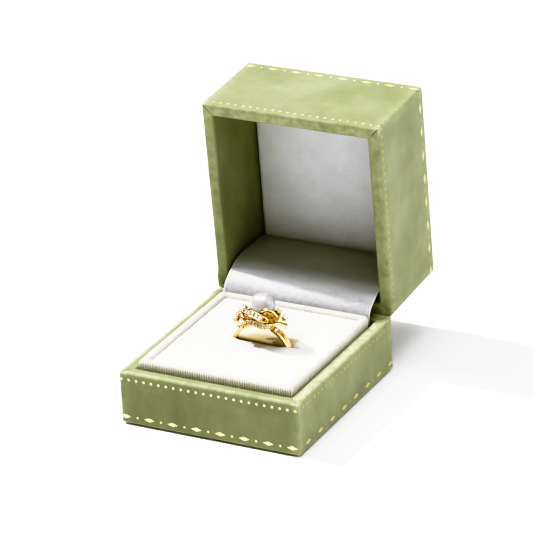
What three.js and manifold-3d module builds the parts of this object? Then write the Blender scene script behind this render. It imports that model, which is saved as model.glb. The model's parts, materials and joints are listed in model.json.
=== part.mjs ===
// Ring box with a spring-hinged lid, a velvet ring insert and a pearl ring.
// Millimetres, +Z up. Origin at the centre of the underside, front face at -Y.
// The lid is built closed and then turned open about the hinge pin.

import * as THREE from "three";
import { mergeVertices } from "three/addons/utils/BufferGeometryUtils.js";
import Module from "manifold-3d";

const wasm = await Module();
wasm.setup();

// Driving dimensions of the box
const WIDTH = 60;
const DEPTH = 63.8;
const BASE_HEIGHT = 17.4;
const LID_HEIGHT = 31.3;
const OPEN_ANGLE = THREE.MathUtils.degToRad(86);
const COVER = 0.5;
const GAP = 0.3;
const SHELL = 2.4;
const WALL = 2 * COVER + 2 * GAP + SHELL;
const CORNER_RADIUS = 0.9;
const SHELL_FLOOR = 2;

// Underside sheet
const SOLE = 0.4;
const SOLE_GAP = 0.1;
const SOLE_INSET = 2;
const TURN_UNDER = 7;
const TURN_IN = 8;

// Insert
const INSERT_BOARD = 1;
const TRIM_WIDTH = 2.6;
const TRIM_TOP = 20;
const TRIM_ROUNDING = 1.1;
const INSERT_HALF_WIDTH = 25.3;
const INSERT_FRONT = -27.2;
const INSERT_BACK = 25.9;
const PAD_TOP = 19.2;
const PAD_ROUNDING = 1;
const SLOT_WIDTH = 3;

// Lid pad
const PAD_BOARD = 0.8;
const LID_PAD = 3.1;
const LID_PAD_SIDE_GAP = 0.5;

// Hinge
const HINGE_Y = DEPTH / 2;
const HINGE_Z = BASE_HEIGHT + GAP / 2;
const HINGE_LENGTH = 30;
const KNUCKLES = 5;
const KNUCKLE_GAP = 0.3;
const BARREL_RADIUS = 0.95;
const BORE_RADIUS = 0.5;
const PIN_RADIUS = 0.42;
const LEAF = 0.5;
const LEAF_START = 1.3;
const LEAF_END = 4.8;
const FLANGE_DEPTH = 8;
const FLANGE_MIDDLE = 2;
const NOTCH_CLEARANCE = 0.3;
const KNUCKLE_SIDES = 20;
const SPRING_WIDTH = 8;
const SPRING_THICKNESS = 0.3;

// Apron over the hinge
const APRON_WIDTH = 49.6;
const APRON_THICKNESS = 0.35;

// Ring
const RING_X = 3;
const RING_Y = -1.75;
const RING_Z = 15.7;
const BAND_INNER_RADIUS = 8.8;
const BAND_OUTER_RADIUS = 10.25;
const BAND_WIDTH = 2.4;
const BAND_BEVEL = 0.35;
const BAND_SIDES = 48;
const HEAD_X = 0.2;
const PEARL_RADIUS = 4;
const PEARL_X = 0.5;
const PEARL_HEIGHT = 16.1;
const CUP_RIM_RADIUS = 2.1;
const CUP_RIM = 0.4;
const CUP_FOOT_RADIUS = 1.1;
const RIBBON_RADIUS = 0.62;
const LOOP_RADIUS = 0.4;

const COLOURS = {
  cover: ["#a5ab6b", 0.9, 0],
  shell: ["#b9a483", 0.8, 0],
  sole: ["#20221c", 0.95, 0],
  board: ["#d9d4c6", 0.9, 0],
  trim: ["#f2efe4", 0.85, 0],
  pad: ["#f8f7f2", 0.95, 0],
  satin: ["#d9d7d2", 0.45, 0],
  steel: ["#b8b6ae", 0.35, 1],
  gold: ["#e6b64c", 0.2, 1],
  pearl: ["#efe9e4", 0.2, 0],
  gem: ["#f4f6fa", 0.05, 0],
};

function material(name) {
  const [color, roughness, metalness] = COLOURS[name];
  return new THREE.MeshStandardMaterial({ color, roughness, metalness });
}

function piece(name, finish, geometry) {
  const mesh = new THREE.Mesh(geometry, material(finish));
  mesh.name = name;
  return mesh;
}

// Solids for joining and cutting

function toSolid(geometry) {
  const bare = geometry.clone();
  bare.deleteAttribute("normal");
  bare.deleteAttribute("uv");
  const merged = mergeVertices(bare, 1e-5);
  const vertProperties = new Float32Array(merged.attributes.position.array);
  const triVerts = new Uint32Array(merged.index.array);
  return new wasm.Manifold(new wasm.Mesh({ numProp: 3, vertProperties, triVerts }));
}

function toGeometry(solid) {
  const mesh = solid.getMesh();
  const geometry = new THREE.BufferGeometry();
  const positions = new Float32Array(mesh.vertProperties);
  const corners = new Uint32Array(mesh.triVerts);
  geometry.setAttribute("position", new THREE.BufferAttribute(positions, 3));
  geometry.setIndex(new THREE.BufferAttribute(corners, 1));
  geometry.computeVertexNormals();
  return geometry;
}

// A box given by its lowest and highest corners
function block(low, high) {
  const size = high.map((value, axis) => value - low[axis]);
  const middle = high.map((value, axis) => (value + low[axis]) / 2);
  return new THREE.BoxGeometry(...size).translate(...middle);
}

function solidBlock(low, high) {
  return toSolid(block(low, high));
}

// An upright prism on a rectangle with round corners, centred on the Z axis
function roundedPrism(width, depth, bottom, top, radius) {
  const x = width / 2;
  const y = depth / 2;
  const shape = new THREE.Shape();
  shape.absarc(x - radius, y - radius, radius, 0, Math.PI / 2);
  shape.absarc(radius - x, y - radius, radius, Math.PI / 2, Math.PI);
  shape.absarc(radius - x, radius - y, radius, Math.PI, 1.5 * Math.PI);
  shape.absarc(x - radius, radius - y, radius, 1.5 * Math.PI, 2 * Math.PI);
  const options = { depth: top - bottom, bevelEnabled: false, curveSegments: 3 };
  const prism = new THREE.ExtrudeGeometry(shape, options);
  return toSolid(prism.translate(0, 0, bottom));
}

// A prism along X whose section is drawn in (y, z)
function prismAlongX(points, length) {
  const shape = new THREE.Shape(points.map(([y, z]) => new THREE.Vector2(y, z)));
  const geometry = new THREE.ExtrudeGeometry(shape, { depth: length, bevelEnabled: false });
  geometry.translate(0, 0, -length / 2);
  const turn = new THREE.Matrix4().makeBasis(
    new THREE.Vector3(0, 1, 0),
    new THREE.Vector3(0, 0, 1),
    new THREE.Vector3(1, 0, 0),
  );
  return geometry.applyMatrix4(turn);
}

// Box halves. Each is made as a tray that opens upward, in z from its outer face to its rim.

function hingeNotch(rim) {
  const half = HINGE_LENGTH / 2 + NOTCH_CLEARANCE;
  const depth = BARREL_RADIUS + NOTCH_CLEARANCE - GAP / 2;
  return solidBlock([-half, DEPTH / 2 - WALL - 1, rim - depth], [half, DEPTH / 2 + 1, rim + 1]);
}

function trayShell(outerFace, rim) {
  const inset = 2 * (COVER + GAP);
  const bottom = outerFace + COVER + GAP;
  const top = rim - COVER - GAP;
  const outer = roundedPrism(WIDTH - inset, DEPTH - inset, bottom, top, CORNER_RADIUS);
  const hollowInset = inset + 2 * SHELL;
  const hollow = roundedPrism(
    WIDTH - hollowInset, DEPTH - hollowInset, bottom + SHELL_FLOOR, rim, CORNER_RADIUS,
  );
  const pocketHalf = HINGE_LENGTH / 2 + NOTCH_CLEARANCE;
  const pocketY = DEPTH / 2 - FLANGE_MIDDLE;
  const pocketReach = LEAF / 2 + GAP;
  const pocket = solidBlock(
    [-pocketHalf, pocketY - pocketReach, rim - FLANGE_DEPTH - GAP],
    [pocketHalf, pocketY + pocketReach, rim],
  );
  return outer.subtract(hollow).subtract(hingeNotch(rim)).subtract(pocket);
}

function trayCover(outerFace, rim, turnInDepth, floorOpening) {
  const cavityWidth = WIDTH - 2 * WALL;
  const cavityDepth = DEPTH - 2 * WALL;
  const outer = roundedPrism(WIDTH, DEPTH, outerFace, rim, CORNER_RADIUS);
  const room = roundedPrism(
    WIDTH - 2 * COVER, DEPTH - 2 * COVER, outerFace + COVER, rim - COVER, CORNER_RADIUS,
  );
  const mouth = roundedPrism(cavityWidth, cavityDepth, rim - 2 * COVER, rim + 1, CORNER_RADIUS);
  const skinBottom = rim - turnInDepth;
  const innerSkin = roundedPrism(
    cavityWidth + 2 * COVER, cavityDepth + 2 * COVER, skinBottom, rim - COVER / 2, CORNER_RADIUS,
  );
  const cavity = roundedPrism(cavityWidth, cavityDepth, skinBottom - 1, rim + 1, CORNER_RADIUS);
  let cover = outer.subtract(room).subtract(mouth).add(innerSkin.subtract(cavity));
  if (floorOpening) {
    const { width, depth } = floorOpening;
    const cutTop = outerFace + COVER + 1;
    cover = cover.subtract(roundedPrism(width, depth, outerFace - 1, cutTop, CORNER_RADIUS));
  }
  return cover.subtract(hingeNotch(rim));
}

function baseBox() {
  const coverBottom = SOLE + SOLE_GAP;
  const opening = { width: WIDTH - 2 * TURN_UNDER, depth: DEPTH - 2 * TURN_UNDER };
  const sole = roundedPrism(WIDTH - 2 * SOLE_INSET, DEPTH - 2 * SOLE_INSET, 0, SOLE, CORNER_RADIUS);
  return [
    piece("base_sole", "sole", toGeometry(sole)),
    piece("base_cover", "cover", toGeometry(trayCover(coverBottom, BASE_HEIGHT, TURN_IN, opening))),
    piece("base_shell", "shell", toGeometry(trayShell(coverBottom, BASE_HEIGHT))),
  ];
}

// Insert: a card, four ribbed edge pieces with mitred corners and two pads with the ring slot between

function trimSection(thickness, bottom) {
  const points = [[0, bottom], [thickness, bottom]];
  const steps = 4;
  const centres = [thickness - TRIM_ROUNDING, TRIM_ROUNDING];
  for (let corner = 0; corner < 2; corner += 1) {
    for (let step = 0; step <= steps; step += 1) {
      const angle = (corner + step / steps) * (Math.PI / 2);
      const along = centres[corner] + TRIM_ROUNDING * Math.cos(angle);
      const height = TRIM_TOP - TRIM_ROUNDING + TRIM_ROUNDING * Math.sin(angle);
      points.push([along, height]);
    }
  }
  return points;
}

// One edge piece along X, reaching inward along +Y, with its ends mitred
function trimPiece(length, bottom) {
  const bar = toSolid(prismAlongX(trimSection(TRIM_WIDTH, bottom), length));
  const end = (length - GAP) / 2;
  const plan = new THREE.Shape([
    new THREE.Vector2(-end, 0),
    new THREE.Vector2(end, 0),
    new THREE.Vector2(end - TRIM_WIDTH, TRIM_WIDTH),
    new THREE.Vector2(TRIM_WIDTH - end, TRIM_WIDTH),
  ]);
  const mitred = new THREE.ExtrudeGeometry(plan, { depth: TRIM_TOP + 1, bevelEnabled: false });
  return toGeometry(bar.intersect(toSolid(mitred)));
}

function insert(floor) {
  const bottom = floor + GAP;
  const boardTop = bottom + INSERT_BOARD;
  const trimBottom = boardTop + GAP;
  const insertDepth = INSERT_BACK - INSERT_FRONT;
  const middle = (INSERT_BACK + INSERT_FRONT) / 2;
  const board = block(
    [-INSERT_HALF_WIDTH, INSERT_FRONT, bottom],
    [INSERT_HALF_WIDTH, INSERT_BACK, boardTop],
  );
  const trims = [
    ["trim_front", 2 * INSERT_HALF_WIDTH, 0, 0, INSERT_FRONT],
    ["trim_right", insertDepth, Math.PI / 2, INSERT_HALF_WIDTH, middle],
    ["trim_back", 2 * INSERT_HALF_WIDTH, Math.PI, 0, INSERT_BACK],
    ["trim_left", insertDepth, -Math.PI / 2, -INSERT_HALF_WIDTH, middle],
  ].map(([name, length, turn, x, y]) => {
    const mesh = piece(name, "trim", trimPiece(length, trimBottom));
    mesh.rotation.z = turn;
    mesh.position.set(x, y, 0);
    return mesh;
  });
  const padHalfWidth = INSERT_HALF_WIDTH - TRIM_WIDTH - GAP;
  const frontEdge = INSERT_FRONT + TRIM_WIDTH + GAP;
  const rearEdge = INSERT_BACK - TRIM_WIDTH - GAP;
  const pads = [
    ["pad_front", frontEdge, RING_Y - SLOT_WIDTH / 2],
    ["pad_rear", RING_Y + SLOT_WIDTH / 2, rearEdge],
  ].map(([name, from, to]) => {
    const section = [
      [from, trimBottom],
      [to, trimBottom],
      [to, PAD_TOP - PAD_ROUNDING],
      [to - PAD_ROUNDING, PAD_TOP],
      [from + PAD_ROUNDING, PAD_TOP],
      [from, PAD_TOP - PAD_ROUNDING],
    ];
    return piece(name, "pad", prismAlongX(section, 2 * padHalfWidth));
  });
  return [piece("insert_board", "board", board), ...trims, ...pads];
}

// Hinge. Sections are drawn about the pin, with the leaf on the side of z given by "side".

function hingeLeaf(side, owned) {
  const pitch = HINGE_LENGTH / KNUCKLES;
  const toOwn = (low, high) => {
    const zs = [low[2] * side, high[2] * side];
    return solidBlock([low[0], low[1], Math.min(...zs)], [high[0], high[1], Math.max(...zs)]);
  };
  const half = HINGE_LENGTH / 2;
  const near = BARREL_RADIUS - LEAF;
  const far = BARREL_RADIUS;
  let leaf = toOwn([-half, -LEAF_END, near], [half, -LEAF_START, far]);
  const flangeY = -FLANGE_MIDDLE;
  leaf = leaf.add(toOwn(
    [-half, flangeY - LEAF / 2, near], [half, flangeY + LEAF / 2, FLANGE_DEPTH],
  ));
  const boreLength = HINGE_LENGTH + 2;
  const bore = new THREE.CylinderGeometry(BORE_RADIUS, BORE_RADIUS, boreLength, KNUCKLE_SIDES);
  const boreSolid = toSolid(bore.rotateZ(Math.PI / 2));
  for (let index = 0; index < KNUCKLES; index += 1) {
    const start = -half + index * pitch + KNUCKLE_GAP / 2;
    const end = start + pitch - KNUCKLE_GAP;
    if (index % 2 !== owned) continue;
    const barrel = new THREE.CylinderGeometry(
      BARREL_RADIUS, BARREL_RADIUS, end - start, KNUCKLE_SIDES,
    );
    barrel.rotateZ(Math.PI / 2).translate((start + end) / 2, 0, 0);
    leaf = leaf.add(toSolid(barrel)).add(toOwn([start, -LEAF_START - LEAF, near], [end, 0, far]));
  }
  return toGeometry(leaf.subtract(boreSolid));
}

// A strip along X that follows a curve in (y, z) with an even thickness
function strip(points, thickness, width, steps) {
  const curve = new THREE.CatmullRomCurve3(points.map(([y, z]) => new THREE.Vector3(y, z, 0)));
  const upper = [];
  const lower = [];
  for (let step = 0; step <= steps; step += 1) {
    const at = curve.getPointAt(step / steps);
    const along = curve.getTangentAt(step / steps);
    upper.push([at.x - (along.y * thickness) / 2, at.y + (along.x * thickness) / 2]);
    lower.push([at.x + (along.y * thickness) / 2, at.y - (along.x * thickness) / 2]);
  }
  return prismAlongX([...lower, ...upper.reverse()], width);
}

function hingePin() {
  const pin = new THREE.CylinderGeometry(PIN_RADIUS, PIN_RADIUS, HINGE_LENGTH, KNUCKLE_SIDES);
  return piece("hinge_pin", "steel", pin.rotateZ(Math.PI / 2).translate(0, HINGE_Y, HINGE_Z));
}

// The bowed strip pushes both leaves apart on either side of the pin
function hingeSpring() {
  const points = [[26.75, 17.3], [27.3, 19.3], [28.9, 21.2], [31.2, 22.25]];
  return piece("hinge_spring", "steel", strip(points, SPRING_THICKNESS, SPRING_WIDTH, 12));
}

function baseLeaf() {
  const mesh = piece("hinge_leaf_base", "steel", hingeLeaf(-1, 0));
  mesh.position.set(0, HINGE_Y, HINGE_Z);
  return mesh;
}

// The satin strip rises from behind the insert and runs back to the foot of the lid's pad
function apron() {
  const points = [
    [26.2, 18.6], [26.4, 20.4], [28.2, 22.1], [32.6, 24.9], [38, 26.5], [44, 27], [54.7, 26.8],
  ];
  return piece("apron", "satin", strip(points, APRON_THICKNESS, APRON_WIDTH, 24));
}

// Lid, built closed and upside down as a tray, then turned over about the hinge

function lidPieces() {
  const rim = LID_HEIGHT;
  const turnIn = LID_HEIGHT - COVER - GAP - SHELL_FLOOR - GAP;
  const ceiling = COVER + GAP + SHELL_FLOOR;
  const boardBottom = ceiling + GAP;
  const padBottom = boardBottom + PAD_BOARD + GAP;
  const padWidth = WIDTH - 2 * WALL - 2 * LID_PAD_SIDE_GAP;
  const padDepth = DEPTH - 2 * WALL - 2 * LID_PAD_SIDE_GAP;
  const padBoard = roundedPrism(padWidth, padDepth, boardBottom, boardBottom + PAD_BOARD, CORNER_RADIUS);
  const pad = roundedPrism(padWidth, padDepth, padBottom, padBottom + LID_PAD, CORNER_RADIUS);
  return [
    piece("lid_cover", "cover", toGeometry(trayCover(0, rim, turnIn, null))),
    piece("lid_shell", "shell", toGeometry(trayShell(0, rim))),
    piece("lid_pad_board", "board", toGeometry(padBoard)),
    piece("lid_pad", "satin", toGeometry(pad)),
  ];
}

function lid() {
  const tray = new THREE.Group();
  tray.add(...lidPieces());
  // The tray opens upward with its hinge side at +Y: half a turn about Y puts its rim on the base
  tray.rotation.y = Math.PI;
  tray.position.set(0, -HINGE_Y, LID_HEIGHT + GAP / 2);
  const turning = new THREE.Group();
  turning.add(tray);
  turning.add(piece("hinge_leaf_lid", "steel", hingeLeaf(1, 1)));
  turning.position.set(0, HINGE_Y, HINGE_Z);
  turning.rotation.x = -OPEN_ANGLE;
  return turning;
}

// Ring, made about the centre of its band, which lies in the XZ plane

function band() {
  const inner = BAND_INNER_RADIUS;
  const outer = BAND_OUTER_RADIUS;
  const half = BAND_WIDTH / 2;
  const section = [
    [inner, -half + BAND_BEVEL],
    [inner + BAND_BEVEL, -half],
    [outer - 2 * BAND_BEVEL, -half],
    [outer, -half / 3],
    [outer, half / 3],
    [outer - 2 * BAND_BEVEL, half],
    [inner + BAND_BEVEL, half],
    [inner, half - BAND_BEVEL],
    [inner, -half + BAND_BEVEL],
  ].map(([r, y]) => new THREE.Vector2(r, y));
  return piece("ring_band", "gold", new THREE.LatheGeometry(section, BAND_SIDES));
}

// A turned shape standing on Z, from (radius, height) points that start and end on its axis
function turned(points, segments) {
  const profile = points.map(([r, z]) => new THREE.Vector2(r, z));
  return new THREE.LatheGeometry(profile, segments).rotateX(Math.PI / 2);
}

function pearlCup() {
  const foot = BAND_OUTER_RADIUS + GAP;
  const dish = PEARL_HEIGHT - PEARL_RADIUS - GAP;
  const rim = PEARL_HEIGHT - GAP - Math.sqrt(PEARL_RADIUS ** 2 - CUP_RIM_RADIUS ** 2);
  const profile = [
    [0, foot],
    [CUP_FOOT_RADIUS, foot],
    [CUP_FOOT_RADIUS + CUP_RIM, dish - 1.5 * CUP_RIM],
    [CUP_RIM_RADIUS + CUP_RIM, rim],
    [CUP_RIM_RADIUS, rim],
    [0, dish],
  ];
  const mesh = piece("ring_cup", "gold", turned(profile, 24));
  mesh.position.x = PEARL_X;
  return mesh;
}

function pearl() {
  const mesh = piece("pearl", "pearl", new THREE.SphereGeometry(PEARL_RADIUS, 28, 16));
  mesh.position.set(PEARL_X, 0, PEARL_HEIGHT);
  return mesh;
}

// Each gold ribbon is a round bar along a smooth curve through hand-placed points
const RIBBONS = {
  ring_ribbon_front: [
    [-3.4, -3.9, 12], [-1, -4.7, 12.4], [1.1, -5.1, 12.1],
    [3, -5.1, 11.8], [4.7, -4.6, 11.6], [6, -3.9, 12],
  ],
  ring_ribbon_upper: [
    [-3.5, -3.6, 14.7], [-2.4, -4.4, 15], [-0.7, -5.2, 15.3],
    [1.2, -5.4, 15.1], [2.9, -5, 14.5], [4.2, -4.1, 13.7],
  ],
  ring_ribbon_rear: [
    [-6.4, 2.4, 10.9], [-4.4, 3.8, 12], [-1, 5.2, 12.4],
    [2.4, 4.9, 12.2], [5, 3.6, 11.6], [7, 2.2, 10.6],
  ],
};

function bar(name, points, radius) {
  const path = new THREE.CatmullRomCurve3(points.map((point) => new THREE.Vector3(...point)));
  const section = new THREE.Shape();
  section.absarc(0, 0, radius, 0, 2 * Math.PI);
  const options = { steps: 24, extrudePath: path, curveSegments: 6, bevelEnabled: false };
  return piece(name, "gold", new THREE.ExtrudeGeometry(section, options));
}

function ribbons() {
  return Object.entries(RIBBONS).map(([name, points]) => bar(name, points, RIBBON_RADIUS));
}

// The thin rail that loops over the right end of the upper ribbon
function loop() {
  const points = [
    [2.4, -4.6, 16.6], [3.4, -4.2, 16.9], [4.6, -3.4, 16.8], [5.8, -2.7, 16], [6.8, -2.4, 14.6],
  ];
  return bar("ring_loop", points, LOOP_RADIUS);
}

// The plain leaf flares like a trumpet from the ribbons to its open end on the right
function leaf() {
  const profile = [[0, 0], [0.4, 0], [0.5, 1.4], [0.95, 3.6], [0.75, 3.6], [0, 2.6]];
  const mesh = piece("ring_leaf", "gold", turned(profile, 16));
  mesh.position.set(6.2, -2.3, 12.7);
  mesh.rotation.y = THREE.MathUtils.degToRad(102);
  return mesh;
}

// Settings: centre of the stone's top, the lean of its axis about X and Y in degrees, and its scale
const SETTINGS = [
  { at: [-5.5, -1.7, 14.6], leanX: 12, leanY: -32, scale: 0.9 },
  { at: [-7.7, -1.6, 11.7], leanX: 20, leanY: -50, scale: 0.85 },
  { at: [-5.3, -3.2, 10.9], leanX: 55, leanY: -30, scale: 0.95 },
  { at: [5.7, 0.3, 15.1], leanX: -5, leanY: 25, scale: 0.65 },
  { at: [8, 0, 13.5], leanX: 0, leanY: 40, scale: 0.65 },
];

function settings() {
  const collet = [[0, -2.2], [0.5, -2.2], [1.35, -0.3], [1.35, 0], [1.25, 0], [0, -1.55]];
  const gem = [[0, -0.95], [0.75, -0.18], [0.55, 0.2], [0, 0.2]];
  return SETTINGS.map(({ at, leanX, leanY, scale }, index) => {
    const sized = (points) => points.map(([r, z]) => [r * scale, z * scale]);
    const group = new THREE.Group();
    group.add(piece(`collet_${index + 1}`, "gold", turned(sized(collet), 12)));
    group.add(piece(`diamond_${index + 1}`, "gem", turned(sized(gem), 8)));
    group.position.set(...at);
    group.rotation.set(
      THREE.MathUtils.degToRad(leanX), THREE.MathUtils.degToRad(leanY), 0,
    );
    return group;
  });
}

function ring() {
  const head = new THREE.Group();
  head.add(pearlCup(), pearl(), ...ribbons(), loop(), leaf(), ...settings());
  head.position.x = HEAD_X;
  const group = new THREE.Group();
  group.add(band(), head);
  group.position.set(RING_X, RING_Y, RING_Z);
  return group;
}

const box = new THREE.Group();
const shellFloor = SOLE + SOLE_GAP + COVER + GAP + SHELL_FLOOR;
box.add(...baseBox(), ...insert(shellFloor));
box.add(baseLeaf(), hingePin(), hingeSpring(), apron());
box.add(lid());
box.add(ring());

export default box;
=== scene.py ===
"""Looks of the ring box: suede-paper box with gold foil, velvet insert, satin-lined lid and pearl ring.

All lengths are in metres in the CAD's frame: +Z up, front of the box at -Y, hinge along X at the back.
Lid pieces are made closed, then turned open about the hinge with LID_OPEN.
"""

import json
import math

import bmesh
import bpy
from mathutils import Matrix, Vector, noise


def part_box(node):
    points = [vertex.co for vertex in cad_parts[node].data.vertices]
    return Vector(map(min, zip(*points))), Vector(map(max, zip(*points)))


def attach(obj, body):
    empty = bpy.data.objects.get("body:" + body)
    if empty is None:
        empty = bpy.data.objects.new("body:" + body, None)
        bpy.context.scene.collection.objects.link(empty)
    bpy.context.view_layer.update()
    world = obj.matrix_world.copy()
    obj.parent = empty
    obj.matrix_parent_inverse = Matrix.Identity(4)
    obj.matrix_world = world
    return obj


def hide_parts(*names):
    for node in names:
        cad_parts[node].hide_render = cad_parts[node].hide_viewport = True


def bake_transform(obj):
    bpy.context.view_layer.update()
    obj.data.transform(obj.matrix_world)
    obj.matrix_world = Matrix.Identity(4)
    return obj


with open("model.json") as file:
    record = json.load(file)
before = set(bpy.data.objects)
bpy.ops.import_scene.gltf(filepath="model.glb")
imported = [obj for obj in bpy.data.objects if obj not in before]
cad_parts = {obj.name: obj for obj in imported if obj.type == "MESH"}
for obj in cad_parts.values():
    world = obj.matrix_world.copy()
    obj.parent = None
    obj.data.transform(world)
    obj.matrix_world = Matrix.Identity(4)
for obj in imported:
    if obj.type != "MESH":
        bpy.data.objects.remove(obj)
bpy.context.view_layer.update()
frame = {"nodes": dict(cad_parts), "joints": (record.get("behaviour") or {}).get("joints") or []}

MM = 0.001

# the box's own sizes. LID_RIM and LID_TOP are heights with the lid closed
BASE_LOW, BASE_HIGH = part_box("base_cover")
HALF_X = BASE_HIGH.x
HALF_Y = BASE_HIGH.y
BASE_RIM = BASE_HIGH.z
HINGE = next(j for j in frame["joints"] if j["name"] == "lid_hinge")
HINGE_AT = Vector(HINGE["pos_m"])
OPEN_ANGLE = math.radians(HINGE["range_deg"][1])
LID_RIM = 2 * HINGE_AT.z - BASE_RIM
LID_HEIGHT = 31.3 * MM
LID_TOP = LID_RIM + LID_HEIGHT
WALL = 4.0 * MM
COVER = 0.45 * MM
NOTCH_HALF = 15.3 * MM
NOTCH_DEPTH = 1.1 * MM

LID_OPEN = (
    Matrix.Translation(HINGE_AT)
    @ Matrix.Rotation(-OPEN_ANGLE, 4, "X")
    @ Matrix.Translation(-HINGE_AT)
)


# ---------------------------------------------------------------- materials

class Shader:
    """A small helper that builds one Principled material node by node."""

    def __init__(self, name):
        self.material = bpy.data.materials.new(name)
        self.material.use_nodes = True
        self.tree = self.material.node_tree
        self.surface = self.tree.nodes["Principled BSDF"]
        self.place = self.add("ShaderNodeTexCoord").outputs["Object"]

    def feed(self, socket, value):
        """Links a socket to another node's output, or sets its value."""
        if isinstance(value, bpy.types.NodeSocket):
            self.tree.links.new(value, socket)
        elif socket.type == "RGBA":
            socket.default_value = (*value, 1)
        else:
            socket.default_value = value

    def add(self, kind, inputs=None, **settings):
        node = self.tree.nodes.new(kind)
        for key, value in settings.items():
            setattr(node, key, value)
        for key, value in (inputs or {}).items():
            self.feed(node.inputs[key], value)
        return node

    def set(self, **values):
        for key, value in values.items():
            self.feed(self.surface.inputs[key.replace("_", " ")], value)

    def mapped(self, rotation=(0, 0, 0), scale=(1, 1, 1)):
        inputs = {"Rotation": rotation, "Scale": scale, "Vector": self.place}
        return self.add("ShaderNodeMapping", inputs).outputs["Vector"]

    def noise(self, scale, detail=3.0, roughness=0.5, vector=None, distortion=0.0):
        inputs = {"Scale": scale, "Detail": detail, "Roughness": roughness}
        inputs.update({"Distortion": distortion, "Vector": vector or self.place})
        return self.add("ShaderNodeTexNoise", inputs).outputs["Fac"]

    def wave(self, scale, vector, distortion):
        inputs = {"Scale": scale, "Distortion": distortion, "Vector": vector}
        settings = {"wave_type": "BANDS", "bands_direction": "X"}
        return self.add("ShaderNodeTexWave", inputs, **settings).outputs["Fac"]

    def math(self, operation, a, b):
        return self.add("ShaderNodeMath", {0: a, 1: b}, operation=operation).outputs["Value"]

    def ramp(self, fac, *stops):
        """A colour ramp. Colours without a position lie at the ends of the noise's usual range."""
        if len(stops[0]) == 3:
            stops = tuple(zip((0.3, 0.7), stops))
        node = self.add("ShaderNodeValToRGB", {"Fac": fac})
        elements = node.color_ramp.elements
        for element, (position, color) in zip(elements, (stops[0], stops[-1])):
            element.position = position
            element.color = (*color, 1)
        for position, color in stops[1:-1]:
            element = elements.new(position)
            element.color = (*color, 1)
        return node.outputs["Color"]

    def greys(self, fac, dark, light, start=0.3, end=0.7):
        """A ramp between two greys."""
        return self.ramp(fac, (start, (dark,) * 3), (end, (light,) * 3))

    def mix(self, fac, a, b, blend="MIX"):
        inputs = {0: fac, 6: a, 7: b}
        return self.add("ShaderNodeMix", inputs, data_type="RGBA", blend_type=blend).outputs[2]

    def speckle(self, fac, color, fleck):
        """The colour made lighter and darker by a grey pattern."""
        return self.mix(fac, color, fleck, "OVERLAY")

    def attribute(self, name):
        return self.add("ShaderNodeAttribute", attribute_name=name).outputs["Fac"]

    def bump(self, height, distance, strength):
        inputs = {"Height": height, "Distance": distance, "Strength": strength}
        self.set(Normal=self.add("ShaderNodeBump", inputs).outputs["Normal"])


def suede_paper():
    """Sage green paper with a short nap: cloudy, paler where its corners and edges are scuffed, and paler
    on the rims as painted light.
    """
    s = Shader("suede_paper")
    clouds = s.noise(70, 4, 0.55)
    streaks = s.noise(160, 3, 0.6, s.mapped(scale=(1, 1, 0.35)))
    nap = s.noise(2600, 2, 0.6)
    dark, middle, light = (0.224, 0.243, 0.129), (0.253, 0.273, 0.151), (0.284, 0.303, 0.179)
    base = s.ramp(clouds, (0.32, dark), (0.5, middle), (0.68, light))
    base = s.speckle(0.35, base, s.greys(streaks, 0.42, 0.58))
    base = s.speckle(0.3, base, s.greys(nap, 0.38, 0.62))
    patches = s.greys(s.noise(400, 3), 0.35, 1, 0.35, 0.6)
    # painted light: the rims are marked paler as well as the scuffed corners and edges
    worn_and_lit = s.math("MULTIPLY", s.attribute("wear_and_rim_light"), patches)
    s.set(Base_Color=s.mix(worn_and_lit, base, (0.64, 0.65, 0.42)), Roughness=s.greys(nap, 0.8, 0.96))
    s.set(Specular_IOR_Level=0.3, Sheen_Weight=0.3, Sheen_Roughness=0.5, Sheen_Tint=(0.95, 0.95, 0.95))
    s.bump(s.math("ADD", s.math("MULTIPLY", streaks, 0.6), nap), 0.00006, 0.6)
    return s.material


def foil():
    """Stamped gold foil, darker on the side walls, where a painted shade stands in for the darker
    reflection they catch.
    """
    s = Shader("gold_foil")
    grain = s.noise(1800, 3, 0.7)
    bright = s.ramp(grain, (0.86, 0.72, 0.36), (1.0, 0.9, 0.58))
    # painted shade: the side walls' foil is darkened to a mustard gold in place of darker reflections
    s.set(Base_Color=s.mix(s.attribute("painted_side_shade"), bright, (0.36, 0.31, 0.10)))
    s.set(Roughness=s.greys(grain, 0.28, 0.5), Metallic=0.4)
    s.bump(grain, 0.00003, 0.5)
    return s.material


def ribbed_ribbon():
    """Cream ribbon, with painted shade in the grooves between its ribs."""
    s = Shader("ribbed_ribbon")
    thread = s.noise(3200, 3, 0.6)
    shade = s.ramp(s.noise(220, 2), (0.35, (0.77, 0.74, 0.65)), (0.65, (0.84, 0.82, 0.74)))
    # painted shade in the grooves between the ribs
    groove = s.math("MULTIPLY", s.attribute("groove"), 0.65)
    color = s.mix(groove, shade, (0.36, 0.32, 0.22))
    s.set(Base_Color=s.speckle(0.2, color, s.greys(thread, 0.35, 0.65)))
    s.set(Roughness=s.greys(thread, 0.65, 0.85), Sheen_Weight=0.2, Sheen_Roughness=0.4)
    s.bump(thread, 0.00005, 0.5)
    return s.material


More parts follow.
